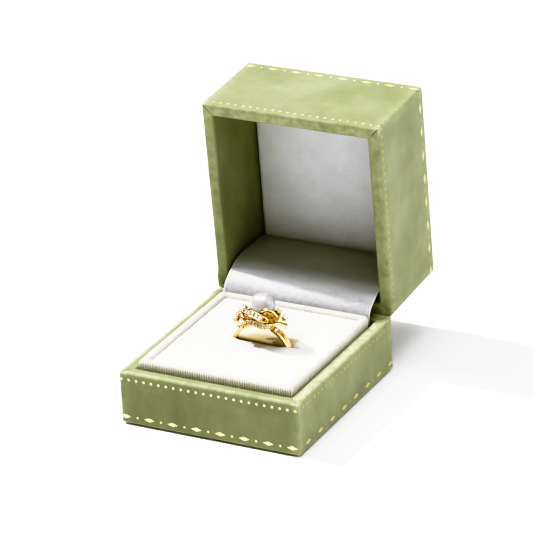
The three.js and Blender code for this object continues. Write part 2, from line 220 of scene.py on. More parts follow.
def velvet():
    """White velvet, with the ring's shadow and the gold's reflected light painted in where the piece marks
    it.
    """
    s = Shader("white_velvet")
    pile = s.noise(2400, 3, 0.65)
    lay = s.noise(90, 3, 0.5, s.mapped(rotation=(0, 0, 0.5), scale=(1, 0.4, 1)))
    base = s.ramp(lay, (0.69, 0.69, 0.655), (0.73, 0.73, 0.70))
    base = s.speckle(0.25, base, s.greys(pile, 0.4, 0.6))
    # painted shade: the ring's shadow, warmed by painted reflected light from the gold
    s.set(Base_Color=s.mix(s.attribute("painted_gold_shade"), base, (0.46, 0.37, 0.17)))
    s.set(Roughness=s.greys(pile, 0.85, 0.98), Specular_IOR_Level=0.15)
    s.set(Sheen_Weight=0.35, Sheen_Roughness=0.5)
    s.bump(pile, 0.00006, 0.45)
    return s.material


def satin_twill():
    """The lid's padded satin, with the fine diagonal ribs of its twill and a weaker second set."""
    s = Shader("satin_twill")
    ribs = s.wave(500, s.mapped(rotation=(0, math.radians(-52), 0)), 0.6)
    cross = s.wave(470, s.mapped(rotation=(0, math.radians(56), 0)), 0.6)
    weave = s.math("ADD", s.math("MULTIPLY", ribs, 0.65), s.math("MULTIPLY", cross, 0.35))
    base = s.ramp(s.noise(120, 3, 0.5), (0.75, 0.75, 0.74), (0.81, 0.81, 0.80))
    s.set(Base_Color=s.speckle(0.5, base, s.greys(weave, 0.18, 0.82, 0.25, 0.75)))
    s.set(Roughness=s.greys(weave, 0.5, 0.34, 0.2, 0.8), Specular_IOR_Level=0.6)
    s.set(Sheen_Weight=0.2, Sheen_Roughness=0.3)
    s.bump(weave, 0.00005, 0.6)
    return s.material


def satin_plain():
    """The apron's thinner satin, crinkled where it is marked so, with a whiter woven edge."""
    s = Shader("satin_plain")
    thread = s.wave(1900, s.mapped(rotation=(0, 0, math.radians(3))), 0.5)
    crinkle = s.noise(850, 4, 0.65, s.mapped(scale=(1, 0.8, 0.8)), 1.2)
    base = s.ramp(s.noise(150, 3), (0.44, 0.44, 0.43), (0.48, 0.48, 0.47))
    folds = s.math("MULTIPLY", s.attribute("crinkled"), 0.16)
    satin = s.speckle(folds, base, s.greys(crinkle, 0.2, 0.85, 0.35, 0.65))
    s.set(Base_Color=s.mix(s.attribute("selvedge"), satin, (0.85, 0.85, 0.84)))
    s.set(Roughness=s.greys(crinkle, 0.42, 0.3, 0.2, 0.8), Specular_IOR_Level=0.6)
    s.set(Sheen_Weight=0.15, Sheen_Roughness=0.3)
    relief = s.math("MULTIPLY", s.attribute("crinkled"), crinkle)
    s.bump(s.math("ADD", s.math("MULTIPLY", thread, 0.12), relief), 0.00022, 0.7)
    return s.material


def metal(name, pattern, dark, light, matt_pattern, smooth, rough, relief):
    """Solid metal. pattern and matt_pattern are the settings of two noises."""
    s = Shader(name)
    cast = s.noise(*pattern)
    s.set(Base_Color=s.ramp(cast, dark, light), Metallic=1.0)
    s.set(Roughness=s.greys(s.noise(*matt_pattern), smooth, rough))
    s.bump(cast, relief, 0.4)
    return s.material


def steel():
    """Steel, brushed along X."""
    s = Shader("spring_steel")
    brushed = s.noise(900, 4, 0.6, s.mapped(scale=(0.05, 1, 1)))
    s.set(Base_Color=s.ramp(brushed, (0.42, 0.41, 0.38), (0.6, 0.59, 0.55)), Metallic=1.0)
    s.set(Roughness=s.greys(brushed, 0.25, 0.42))
    s.bump(brushed, 0.00003, 0.4)
    return s.material


def nacre():
    """Pearl: soft under a clear coat."""
    s = Shader("pearl_nacre")
    swirl = s.noise(260, 3, 0.5, distortion=0.6)
    dark, light, pink = (0.44, 0.425, 0.385), (0.48, 0.465, 0.43), (0.46, 0.44, 0.40)
    s.set(Base_Color=s.ramp(swirl, (0.3, dark), (0.5, light), (0.7, pink)))
    s.set(Roughness=s.greys(swirl, 0.26, 0.32), Specular_IOR_Level=1.0)
    s.set(Coat_Weight=1.0, Coat_Roughness=0.32, Sheen_Weight=0.12, Sheen_Roughness=0.4)
    s.set(Subsurface_Weight=0.1, Subsurface_Radius=(0.001, 0.0008, 0.0007))
    return s.material


def cut_stone():
    """Sparkling stone: mostly white, and a little clear."""
    s = Shader("cut_stone")
    tint = s.noise(700, 2)
    s.set(Base_Color=s.ramp(tint, (0.35, (0.66, 0.61, 0.55)), (0.6, (1.0, 0.99, 0.97))))
    s.set(Roughness=s.greys(tint, 0.02, 0.06), Transmission_Weight=0.2, IOR=2.2)
    return s.material


def fibrous(name, pattern, dark, light, smooth, rough, relief, strength):
    """A dry sheet of fibres: felt or board. pattern holds the settings of its noise."""
    s = Shader(name)
    fibre = s.noise(*pattern)
    s.set(Base_Color=s.ramp(fibre, dark, light), Roughness=s.greys(fibre, smooth, rough))
    s.bump(fibre, relief, strength)
    return s.material


def board(name, dark, light):
    return fibrous(name, (700, 5, 0.65), dark, light, 0.75, 0.92, 0.00008, 0.5)


SUEDE = suede_paper()
FOIL = foil()
RIBBON = ribbed_ribbon()
VELVET = velvet()
TWILL = satin_twill()
APRON_SATIN = satin_plain()
GOLD = metal(
    "polished_gold", (900, 3, 0.5), (0.88, 0.68, 0.33), (0.93, 0.76, 0.43), (2600, 2), 0.07, 0.14, 0.00002
)
# inside the setting the same gold mostly reflects itself, which makes it deeper in colour
DEEP_GOLD = metal(
    "shaded_gold", (420, 2), (0.40, 0.23, 0.07), (0.68, 0.43, 0.14), (2000, 2), 0.2, 0.32, 0.00004
)
STEEL = steel()
PEARL = nacre()
STONE = cut_stone()
FELT = fibrous(
    "felt_sheet", (2200, 4, 0.7), (0.012, 0.014, 0.01), (0.04, 0.044, 0.034), 0.9, 1, 0.0001, 0.6
)
FIBREBOARD = board("fibreboard", (0.4, 0.3, 0.17), (0.52, 0.41, 0.25))
CARD = board("grey_card", (0.62, 0.59, 0.5), (0.74, 0.71, 0.62))


# ---------------------------------------------------------------- mesh helpers

# points closer than this are joined
MERGE = 1e-7


def smoothstep(value):
    value = max(0.0, min(1.0, value))
    return value * value * (3 - 2 * value)


def round_over(part):
    """The fall of a quarter round, from 1 at its edge to 0 where it meets the flat (part = 1)."""
    return 1 - math.sqrt(max(0, 1 - (1 - part) ** 2))


def mesh_object(name, points, faces, material, attributes=None):
    """A smooth-shaded mesh with one value per point in each attribute."""
    mesh = bpy.data.meshes.new(name)
    mesh.from_pydata([tuple(p) for p in points], [], faces)
    for attribute_name, values in (attributes or {}).items():
        mesh.attributes.new(attribute_name, "FLOAT", "POINT").data.foreach_set("value", values)
    work = bmesh.new()
    work.from_mesh(mesh)
    bmesh.ops.remove_doubles(work, verts=work.verts, dist=MERGE)
    bmesh.ops.dissolve_degenerate(work, dist=MERGE, edges=work.edges)
    bmesh.ops.recalc_face_normals(work, faces=work.faces)
    work.to_mesh(mesh)
    work.free()
    mesh.shade_smooth()
    mesh.materials.append(material)
    piece = bpy.data.objects.new(name, mesh)
    bpy.context.scene.collection.objects.link(piece)
    return piece


def grid_faces(rows, columns, wrap_rows=False, wrap_columns=False):
    """Faces between neighbouring points of a grid that is stored row by row."""
    faces = []
    for i in range(rows if wrap_rows else rows - 1):
        for j in range(columns if wrap_columns else columns - 1):
            a = i * columns + j
            b = i * columns + (j + 1) % columns
            c = ((i + 1) % rows) * columns + (j + 1) % columns
            d = ((i + 1) % rows) * columns + j
            faces.append((a, b, c, d))
    return faces


def tube_faces(rows, columns):
    """Faces of a row of closed outlines, with a cap on the first and the last."""
    faces = grid_faces(rows, columns, wrap_columns=True)
    faces.append(tuple(range(columns)))
    faces.append(tuple(range((rows - 1) * columns, rows * columns)))
    return faces


def grid_border(rows, columns):
    """The points round the outside of a grid, in order."""
    border = [i * columns for i in range(rows)]
    border += [(rows - 1) * columns + j for j in range(1, columns)]
    border += [i * columns + columns - 1 for i in range(rows - 2, -1, -1)]
    return border + list(range(columns - 2, 0, -1))


def sharpen(piece, degrees=35):
    """Keeps flat faces flat beside rounded edges."""
    piece.data.set_sharp_from_angle(angle=math.radians(degrees))


def arc(center, radius, start, end, steps):
    angles = [start + (end - start) * k / steps for k in range(steps + 1)]
    return [(center[0] + radius * math.cos(a), center[1] + radius * math.sin(a)) for a in angles]


def stretch(start, end, count):
    """Evenly spaced points strictly between two points."""
    return [
        tuple(a + (b - a) * k / (count + 1) for a, b in zip(start, end))
        for k in range(1, count + 1)
    ]


def side_stations(half, notch=None):
    """Distances along one side. A notch in the side gets a pair of close stations at each end."""
    steps = 22
    stations = {round(-half + 2 * half * k / steps, 7) for k in range(1, steps)}
    if notch:
        stations = {s for s in stations if abs(abs(s) - notch) > 0.6 * MM}
        for sign in (-1, 1):
            stations |= {round(sign * notch, 7), round(sign * (notch + 0.12 * MM), 7)}
    return sorted(stations)


ALONG_X = side_stations(HALF_X - 1.2 * MM, NOTCH_HALF)
ALONG_Y = side_stations(HALF_Y - 1.2 * MM)


def rounded_loop(half_x, half_y, radius, corner_steps=8):
    """Points of a rounded rectangle, anticlockwise from the middle of its right rear corner.
    Every loop has the same number of points, so that loops of different sizes join up."""
    inner_x = half_x - radius
    inner_y = half_y - radius
    sides = [
        ((inner_x, inner_y), [(-s, half_y) for s in ALONG_X]),
        ((-inner_x, inner_y), [(-half_x, -s) for s in ALONG_Y]),
        ((-inner_x, -inner_y), [(s, -half_y) for s in ALONG_X]),
        ((inner_x, -inner_y), [(half_x, s) for s in ALONG_Y]),
    ]
    points = []
    for corner, (centre, side) in enumerate(sides):
        start = corner * math.pi / 2
        points += arc(centre, radius, start, start + math.pi / 2, corner_steps)
        for x, y in side:
            points.append((
                max(-inner_x, min(inner_x, x)) if corner % 2 == 0 else x,
                max(-inner_y, min(inner_y, y)) if corner % 2 else y,
            ))
    return points


# ---------------------------------------------------------------- covering of the box halves

RIM_ROUND = 0.75 * MM
OUTER_CORNER = 0.9 * MM
INNER_CORNER = 0.35 * MM
EDGE_ZONE = 1.2 * MM
PAPER_WAVE = 0.03 * MM
# along the hinge both rims have a nearly square outer edge that stands into the gap between the halves
REAR_EDGE = 0.02
REAR_PROUD = 0.46 * (LID_RIM - BASE_RIM)


def offset_path(path, distance):
    """The path moved to its left by a distance, for the hidden face of the paper."""
    moved = []
    for k, point in enumerate(path):
        before = path[max(k - 1, 0)]
        after = path[min(k + 1, len(path) - 1)]
        dx = after[0] - before[0]
        dz = after[1] - before[1]
        length = math.hypot(dx, dz) or 1
        moved.append((point[0] - dz / length * distance, point[1] + dx / length * distance))
    return moved


def cover_profile(height, turn_in, turn_under):
    """(inset, depth below the rim) from the underside, up the outside, over the rim, down inside."""
    r = RIM_ROUND
    path = []
    if turn_under:
        path += stretch((turn_under + MM, height), (1.2 * MM, height), 4)
    else:
        path += [(2.0 * MM, height)]
    path += [(1.0 * MM, height)]
    path += arc((r, height - r), r, math.pi / 2, math.pi, 6)
    path += stretch((0, height - r), (0, r), 12)
    path += arc((r, r), r, math.pi, 1.5 * math.pi, 8)
    path += stretch((r, 0), (WALL - r, 0), 5)
    path += arc((WALL - r, r), r, 1.5 * math.pi, 2 * math.pi, 8)
    path += stretch((WALL, r), (WALL, turn_in), 9)
    path += [(WALL, turn_in)]
    return path


def mitre_drop(x, y, inset):
    """How far the rim sinks in the slit of the mitred fold that runs to each corner."""
    off = abs((HALF_X - abs(x)) - (HALF_Y - abs(y)))
    slit = max(0.0, 1 - off / (0.3 * MM))
    open_part = smoothstep((2.6 * MM - inset) / (1.2 * MM)) * smoothstep(inset / (0.5 * MM))
    lap = 0.06 * MM * max(0.0, 1 - off / (2.5 * MM))
    return slit * (0.1 + 0.55 * open_part) * MM - lap


def painted_rim_light(x, y, lid):
    """Painted light on the rims: paler on all of the lid's rim, most along its front, and on the base's rim
    along its right side.
    """
    if lid:
        return 0.45 if y < WALL - HALF_Y else 0.25
    return 0.45 if HALF_X - x < HALF_Y - abs(y) and x > 0 else 0


def edge_wear_and_rim_light(x, y, inset, depth, height, lid):
    """Scuffed paper, strongest at the outer corners and slight along the outer edges; on the rim, painted
    light.
    """
    if inset > EDGE_ZONE:
        if depth > 0.4 * MM or inset > WALL - 0.5 * MM:
            return 0
        return painted_rim_light(x, y, lid)
    to_corner = (HALF_X - abs(x)) + (HALF_Y - abs(y))
    to_edge = min(depth, height - depth)
    upright = max(0, 1 - to_corner / (1.6 * MM))
    level = max(0, 1 - to_edge / (0.9 * MM))
    return min(1, 0.35 * upright + 0.35 * level + 1.2 * upright * level)


def cover_mesh(height, turn_in, turn_under, rim_z, direction, seed):
    """Points of the paper's outer face, then of its hidden face, with how scuffed or lit by painted light
    each point is.
    direction is +1 for the base, whose floor is below its rim, and -1 for the lid."""
    path = cover_profile(height, turn_in, turn_under)
    layers = [(path, 0.0), (offset_path(path, COVER)[::-1], COVER)]
    points = []
    wear_and_rim_light = []
    for layer, under in layers:
        for inset, depth in layer:
            radius = max(OUTER_CORNER - inset * 0.6, INNER_CORNER)
            for x, y in rounded_loop(HALF_X - inset, HALF_Y - inset, radius):
                d = depth
                if not under and depth < RIM_ROUND and 0 < inset < WALL:
                    d += mitre_drop(x, y, inset)
                rear = y > HALF_Y - WALL - 0.6 * MM
                if rear and inset < EDGE_ZONE and depth < EDGE_ZONE:
                    d = d * REAR_EDGE - (0 if under else REAR_PROUD)
                if rear and abs(x) < NOTCH_HALF + 0.01 * MM:
                    d = max(d, NOTCH_DEPTH + under)
                wave = noise.noise(Vector((x, y, depth)) * 60 + Vector((seed, 0, 0)))
                grow = 1 + (0 if under else PAPER_WAVE * wave / HALF_X)
                points.append(Vector((x * grow, y * grow, rim_z - direction * d)))
                wear_and_rim_light.append(0 if under else edge_wear_and_rim_light(x, y, inset, depth, height, direction < 0))
    return points, len(path) * 2, wear_and_rim_light


def make_cover(name, node, height, turn_in, turn_under, rim_z, direction, body, seed):
    """One half's paper. Without turn_under it closes over the lid's top on both of its faces."""
    points, rows, wear_and_rim_light = cover_mesh(height, turn_in, turn_under, rim_z, direction, seed)
    columns = len(points) // rows
    if turn_under:
        faces = grid_faces(rows, columns, wrap_rows=True, wrap_columns=True)
    else:
        faces = tube_faces(rows, columns)
    piece = mesh_object(name, points, faces, SUEDE, {"wear_and_rim_light": wear_and_rim_light})
    if body == "lid":
        piece.data.transform(LID_OPEN)
    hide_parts(node)
    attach(piece, body)


make_cover("base_covering", "base_cover", BASE_RIM - BASE_LOW.z, 8 * MM, 7 * MM, BASE_RIM, 1, "base", 3)
make_cover("lid_covering", "lid_cover", LID_HEIGHT, 27.6 * MM, 0, LID_RIM, -1, "lid", 11)


# ---------------------------------------------------------------- gold foil

DIAMOND = (3.6 * MM, 1.35 * MM)
FOIL_PITCH = 8.0 * MM
DOT_PITCH = 2.49 * MM
DOT_RADIUS = 0.42 * MM
SMALL_DOT = 0.36 * MM
FOIL_UP = 0.05 * MM
FOIL_DOWN = 0.12 * MM
# how strongly the side walls' diamonds and dots get the painted shade
DIAMOND_SIDE_SHADE = 0.55
DOT_SIDE_SHADE = 0.85


def wall_frames():
    """For each wall: the point at its left end seen from outside, the way along it and the way out."""
    return [
        (Vector((-HALF_X, -HALF_Y, 0)), Vector((1, 0, 0)), Vector((0, -1, 0)), 2 * HALF_X),
        (Vector((HALF_X, -HALF_Y, 0)), Vector((0, 1, 0)), Vector((1, 0, 0)), 2 * HALF_Y),
        (Vector((HALF_X, HALF_Y, 0)), Vector((-1, 0, 0)), Vector((0, 1, 0)), 2 * HALF_X),
        (Vector((-HALF_X, HALF_Y, 0)), Vector((0, -1, 0)), Vector((-1, 0, 0)), 2 * HALF_Y),
    ]


def foil_piece(name, body, diamond_z, dot_z, first_diamond, first_dot):
    """A row of diamonds and small dots that runs on round the corners, and a row of dots by the rim."""
    wide, tall = DIAMOND[0] / 2, DIAMOND[1] / 2
    diamond = [(-wide, 0), (0, -tall), (wide, 0), (0, tall)]
    small = arc((0, 0), SMALL_DOT, 0, 2 * math.pi * 11 / 12, 11)
    dot = arc((0, 0), DOT_RADIUS, 0, 2 * math.pi * 11 / 12, 11)
    points = []
    faces = []
    painted_side_shade = []

    def stamp(outline, side_shade, s, z):
        """Adds one thin foil shape with its middle at distance s along the wall and at height z."""
        first = len(points)
        n = len(outline)
        for depth in (FOIL_UP, -FOIL_DOWN):
            for a, b in outline:
                points.append(origin + along * (s + a) + out * depth + Vector((0, 0, z + b)))
                # painted shade, only on the walls that face along X
                painted_side_shade.append(abs(out.x) * side_shade)
        faces.append(tuple(first + k for k in range(n)))
        faces.append(tuple(first + n + k for k in reversed(range(n))))
        for k in range(n):
            m = (k + 1) % n
            faces.append((first + k, first + n + k, first + n + m, first + m))

    step = FOIL_PITCH / 2
    travelled = 0.0
    for origin, along, out, length in wall_frames():
        first = math.ceil((travelled - first_diamond) / step)
        last = math.floor((travelled - first_diamond + length - 0.5 * MM) / step)
        for k in range(first, last + 1):
            s = first_diamond + k * step - travelled
            is_dot = k % 2
            shape, half = (small, SMALL_DOT) if is_dot else (diamond, wide)
            if half * 0.8 <= s <= length - half * 0.8:
                stamp(shape, DOT_SIDE_SHADE if is_dot else DIAMOND_SIDE_SHADE, s, diamond_z)
        count = int((length - 2 * first_dot) / DOT_PITCH + 0.5)
        pitch = (length - 2 * first_dot) / count
        for k in range(count + 1):
            stamp(dot, DOT_SIDE_SHADE, first_dot + k * pitch, dot_z)
        travelled += length
    piece = mesh_object(name, points, faces, FOIL, {"painted_side_shade": painted_side_shade})
    piece.data.shade_flat()
    if body == "lid":
        piece.data.transform(LID_OPEN)
    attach(piece, body)


foil_piece("base_foil", "base", 2.85 * MM, BASE_RIM - 2.2 * MM, 1.6 * MM, 0.9 * MM)
foil_piece("lid_foil", "lid", LID_TOP - 2.8 * MM, LID_RIM + 1.9 * MM, 2.3 * MM, 0.9 * MM)


# ---------------------------------------------------------------- insert: ribbed edging

RIB_PITCH = 0.8 * MM
RIB_HEIGHT = 0.28 * MM
STEPS_PER_RIB = 6
TRIM_ROUND = 1.15 * MM
TRIM_PROUD = 0.3 * MM
TRIM_DEPTH = 6 * MM
TRIM_BACK_LAP = 0.1 * MM
REAR_CORNER = 2.0 * MM
FRONT_CORNER = 0.8 * MM
SEAM = 0.04 * MM


def insert_box():
    """The insert's outline, to the outside of its edging, and the height of the edging's top."""
    front_low, front_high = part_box("trim_front")
    back_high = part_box("trim_back")[1]
    left_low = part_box("trim_left")[0]
    thickness = front_high.y - front_low.y
    half_x = TRIM_PROUD - left_low.x
    return half_x, front_low.y - TRIM_PROUD, back_high.y + TRIM_BACK_LAP, front_high.z, thickness


def trim_section(thickness, top):
    """(distance in from the outside, height, way out of the surface) round the bead's outline."""
    r = TRIM_ROUND
    bottom = top - TRIM_DEPTH
    section = [((0.0, z), (-1, 0)) for z in (bottom, bottom + 2 * MM, top - 2.5 * MM, top - 1.7 * MM)]
    for centre_t, start, end in ((r, math.pi, math.pi / 2), (thickness - r, math.pi / 2, 0)):
        for k in range(7):
            angle = start + (end - start) * k / 6
            out = (math.cos(angle), math.sin(angle))
            section.append(((centre_t + r * out[0], top - r + r * out[1]), out))
    section += [((thickness, z), (1, 0)) for z in (top - 1.7 * MM, top - 2.5 * MM, bottom)]
    return section


def trim(node, name, side):
    """One ribbed edge piece, swept along its side and half way round the corner at each end.
    side counts quarter turns anticlockwise from the front."""
    half_x, front, back, top, thickness = insert_box()
    corners = [(-half_x, front), (half_x, front), (half_x, back), (-half_x, back)]
    radii = [FRONT_CORNER, FRONT_CORNER, REAR_CORNER, REAR_CORNER]
    start = Vector(corners[side])
    end = Vector(corners[(side + 1) % 4])
    length = (end - start).length
    along = (end - start) / length
    inward = Vector((-along.y, along.x))
    r_start = radii[side]
    r_end = radii[(side + 1) % 4]
    arc_start = r_start * math.pi / 4
    arc_end = r_end * math.pi / 4
    straight = length - r_start - r_end
    total = straight + arc_start + arc_end
    count = round(total / RIB_PITCH) * STEPS_PER_RIB
    section = trim_section(thickness, top)

    def round_corner(corner, away, radius, part, t):
        """The point on the half corner, at a part of its way from the straight side to the mitre."""
        angle = math.pi / 4 * part
        reach = max(radius, t)
        spin = radius - min(radius, t)
        return corner + away * (reach - spin * math.sin(angle)) + inward * (reach - spin * math.cos(angle))

    def place(travel, t):
        """The point at a distance along the outer edge and a distance t in from it."""
        if travel < arc_start:
            return round_corner(start, along, r_start, 1 - travel / arc_start, t)
        if travel > arc_start + straight:
            return round_corner(end, -along, r_end, (travel - arc_start - straight) / arc_end, t)
        s = r_start + travel - arc_start
        s = min(max(s, max(r_start, t)), length - max(r_end, t))
        return start + along * s + inward * t

    points = []
    groove = []
    for k in range(count + 1):
        travel = total * k / count
        valley = 1 - abs(math.sin(math.pi * (k % STEPS_PER_RIB) / STEPS_PER_RIB)) ** 0.8
        for (t, z), out in section:
            sink = RIB_HEIGHT * valley
            spot = place(travel, t - out[0] * sink)
            inset = SEAM if k in (0, count) else 0
            spot += along * (inset if k == 0 else -inset)
            points.append(Vector((spot.x, spot.y, z - out[1] * sink)))
            # the valleys between the ribs also get the painted groove shade
            groove.append(valley)
    piece = mesh_object(name, points, tube_faces(count + 1, len(section)), RIBBON, {"groove": groove})
    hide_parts(node)
    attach(piece, "base")


for quarter, place_name in enumerate(("front", "right", "back", "left")):
    trim(f"trim_{place_name}", f"ribbed_edge_{place_name}", quarter)


# ---------------------------------------------------------------- insert: velvet pads

RING_BAND_LOW, RING_BAND_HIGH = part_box("ring_band")
RING_MIDDLE = (RING_BAND_LOW + RING_BAND_HIGH) / 2
# the band made here has its middle this far left of the CAD's, and is up to this much larger in radius
BAND_CHANGE = 0.3 * MM
BAND_MIDDLE = RING_MIDDLE - Vector((BAND_CHANGE, 0, 0))
BAND_HALF = (RING_BAND_HIGH.x - RING_BAND_LOW.x) / 2 + BAND_CHANGE
BAND_DEPTH = (RING_BAND_HIGH.y - RING_BAND_LOW.y) / 2


def held_open(x, left_reach, right_reach):
    """1 where the band holds the slit open, falling to 0 beyond its two legs."""
    off = x - BAND_MIDDLE.x
    reach = left_reach if off < 0 else right_reach
    return 1 - smoothstep((abs(off) - BAND_HALF - 0.1 * MM) / reach)


def slot_opening(x):
    """Half the width of the slit in the velvet."""
    inside = 0.8 if abs(x - BAND_MIDDLE.x) < BAND_HALF - 1.5 * MM else 0.95
    closed = 0.03 * MM
    return closed + (BAND_DEPTH * inside - closed) * held_open(x, 1.5 * MM, 2 * MM)


def lip_rise(x, front):
    """The velvet in front of the band stands a little higher, most of all beside its two legs."""
    off = x - BAND_MIDDLE.x
    beside = math.exp(-(((abs(off) - BAND_HALF + 0.5 * MM) / (2.5 * MM)) ** 2))
    inside = 1 - smoothstep((abs(off) - BAND_HALF) / (5 * MM))
    leg = 1.2 * MM if off < 0 else 0.9 * MM
    return (0.75 * MM * inside + leg * beside) * (1 if front else 0.35)


def painted_gold_shade_at(x, to_lip):
    """How strongly the velvet behind the band, between its two legs, gets the painted shadow of the ring,
    tinted gold as painted reflected light.
    """
    off = x - BAND_MIDDLE.x
    reach = (1.2 + 7.3 * smoothstep((off + BAND_HALF) / (8 * MM))) * MM
    start = smoothstep((off + BAND_HALF) / (2 * MM))
    beyond = 1 - smoothstep((off - BAND_HALF + 1.0 * MM) / (1.5 * MM))
    return 0.85 * beyond * start * math.exp(-((to_lip / reach) ** 2))


def velvet_pad(node, name, front):
    """A velvet-covered foam half. Its inner edge rolls down into the slit."""
    low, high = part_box(node)
    outer_y = low.y if front else high.y
    sign = 1 if front else -1
    grow = 0.5 * MM
    half_x = high.x + grow
    start_y = outer_y - sign * grow
    edge_round, edge_drop = 1.2 * MM, 0.5 * MM
    lip = 0.9 * MM
    cells, across = 72, 26
    points = []
    painted_gold_shade = []
    for k in range(cells + 1):
        x = -half_x + 2 * half_x * k / cells
        inner_y = RING_MIDDLE.y - sign * slot_opening(x)
        span = abs(inner_y - start_y)
        side_drop = edge_drop * round_over(min(1.0, (half_x - abs(x)) / edge_round))
        row = []
        for j in range(across + 1):
            t = j / across
            d = span * t
            y = start_y + sign * d
            to_lip = span - d
            drop = edge_drop * round_over(min(1.0, d / edge_round)) + side_drop
            crown = 0.22 * MM * (1 - (2 * t - 1) ** 2) * (1 - (x / half_x) ** 2)
            wobble = 0.05 * MM * noise.noise(Vector((x, y, 0)) * 180)
            z = high.z - drop + crown + wobble + lip_rise(x, front) * math.exp(-to_lip / (2.5 * MM))
            if to_lip < lip:
                roll = lip * (0.12 + 0.88 * held_open(x, 3 * MM, 6 * MM))
                z -= roll * round_over(to_lip / lip)
            row.append(Vector((x, y, z)))
            # the rear pad gets the painted gold-tinted shadow of the ring
            painted_gold_shade.append(0 if front else painted_gold_shade_at(x, to_lip))
        # down the slit, back along the underside, and up the outer edge
        inner_y = row[-1].y
        row += [Vector((x, inner_y, high.z - depth * MM)) for depth in (1.5, 3, 5, 8)]
        row += [Vector((x, inner_y, low.z)), Vector((x, start_y, low.z))]
        row += [Vector((x, start_y, high.z - depth * MM)) for depth in (8, 4, 1.5)]
        painted_gold_shade += [0 if front else painted_gold_shade_at(x, 0)] * 4 + [0] * (len(row) - across - 5)
        points += row
    piece = mesh_object(name, points, tube_faces(cells + 1, len(row)), VELVET, {"painted_gold_shade": painted_gold_shade})
    sharpen(piece, 50)
    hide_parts(node)
    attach(piece, "base")


velvet_pad("pad_front", "velvet_front", True)
velvet_pad("pad_rear", "velvet_rear", False)


# ---------------------------------------------------------------- satin pad and apron

def lid_pad():
    """Padded satin panel, fullest in the middle and drawn in at its turned edges."""
    half_x = HALF_X - WALL - 0.25 * MM
    half_y = HALF_Y - WALL - 0.25 * MM
    depth_at_edge = 24.2 * MM
    crown = 0.45 * MM
    tilt = 0.6 * MM
    round_in = 1.3 * MM
    cells = 60
    columns = cells + 1

    def spread(k):
        u = -1 + 2 * k / cells
        return u + 0.12 * math.sin(math.pi * u) / math.pi

    points = []
    for i in range(columns):
        for j in range(columns):
            x = half_x * spread(i)
            y = half_y * spread(j)
            edge = min(half_x - abs(x), half_y - abs(y))
            fall = round_in * round_over(min(1, edge / round_in)) * 0.9
            swell = (1 - (x / half_x) ** 4) * (1 - (y / half_y) ** 4)
            ripple = 0.05 * MM * noise.noise(Vector((x, y, 7)) * 90)
            lean = -tilt * y / half_y
            points.append(Vector((x, y, LID_RIM + depth_at_edge + lean + fall - crown * swell + ripple)))
    top_count = len(points)
    back = LID_RIM + 27.2 * MM
    border = grid_border(columns, columns)
    points += [Vector((points[index].x, points[index].y, back)) for index in border]
    faces = grid_faces(columns, columns)
    n = len(border)
    for k in range(n):
        m = (k + 1) % n
        faces.append((border[k], border[m], top_count + m, top_count + k))
    faces.append(tuple(top_count + k for k in range(n)))
    piece = mesh_object("satin_lid_pad", points, faces, TWILL)
    sharpen(piece, 60)
    piece.data.transform(LID_OPEN)
    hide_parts("lid_pad")
    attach(piece, "lid")


lid_pad()

# the strip's middle line as (y, z) in millimetres, from the insert up to the lid's pad
APRON_PROFILE = [
    (26.4, 16.5), (26.4, 19.4), (27.4, 21.2), (29.9, 23.2), (33.5, 25.2), (38.0, 26.5), (44.0, 27.0),
    (50.0, 27.0), (54.9, 26.7),
]


def catmull(points, count):
    """Evenly spread points along a smooth curve through the given ones."""
    ends = [2 * Vector(points[0]) - Vector(points[1])]
    knots = ends + [Vector(p) for p in points] + [2 * Vector(points[-1]) - Vector(points[-2])]
    fine = []
    for a, b, c, d in zip(knots, knots[1:], knots[2:], knots[3:]):
        for k in range(24):
            t = k / 24
            fine.append(
                0.5 * (2 * b + (c - a) * t + (2 * a - 5 * b + 4 * c - d) * t ** 2
                       + (3 * b - a - 3 * c + d) * t ** 3)
            )
    fine.append(Vector(points[-1]))
    lengths = [0.0]
    for p, q in zip(fine, fine[1:]):
        lengths.append(lengths[-1] + (q - p).length)
    total = lengths[-1]
    result = []
    i = 0
    for k in range(count + 1):
        target = total * k / count
        while i < len(lengths) - 2 and lengths[i + 1] < target:
            i += 1
        span = lengths[i + 1] - lengths[i] or 1
        result.append(fine[i].lerp(fine[i + 1], (target - lengths[i]) / span))
    return result, total


def along_line(line, k):
    """The way a line of points runs at its point k."""
    return (line[min(k + 1, len(line) - 1)] - line[max(k - 1, 0)]).normalized()


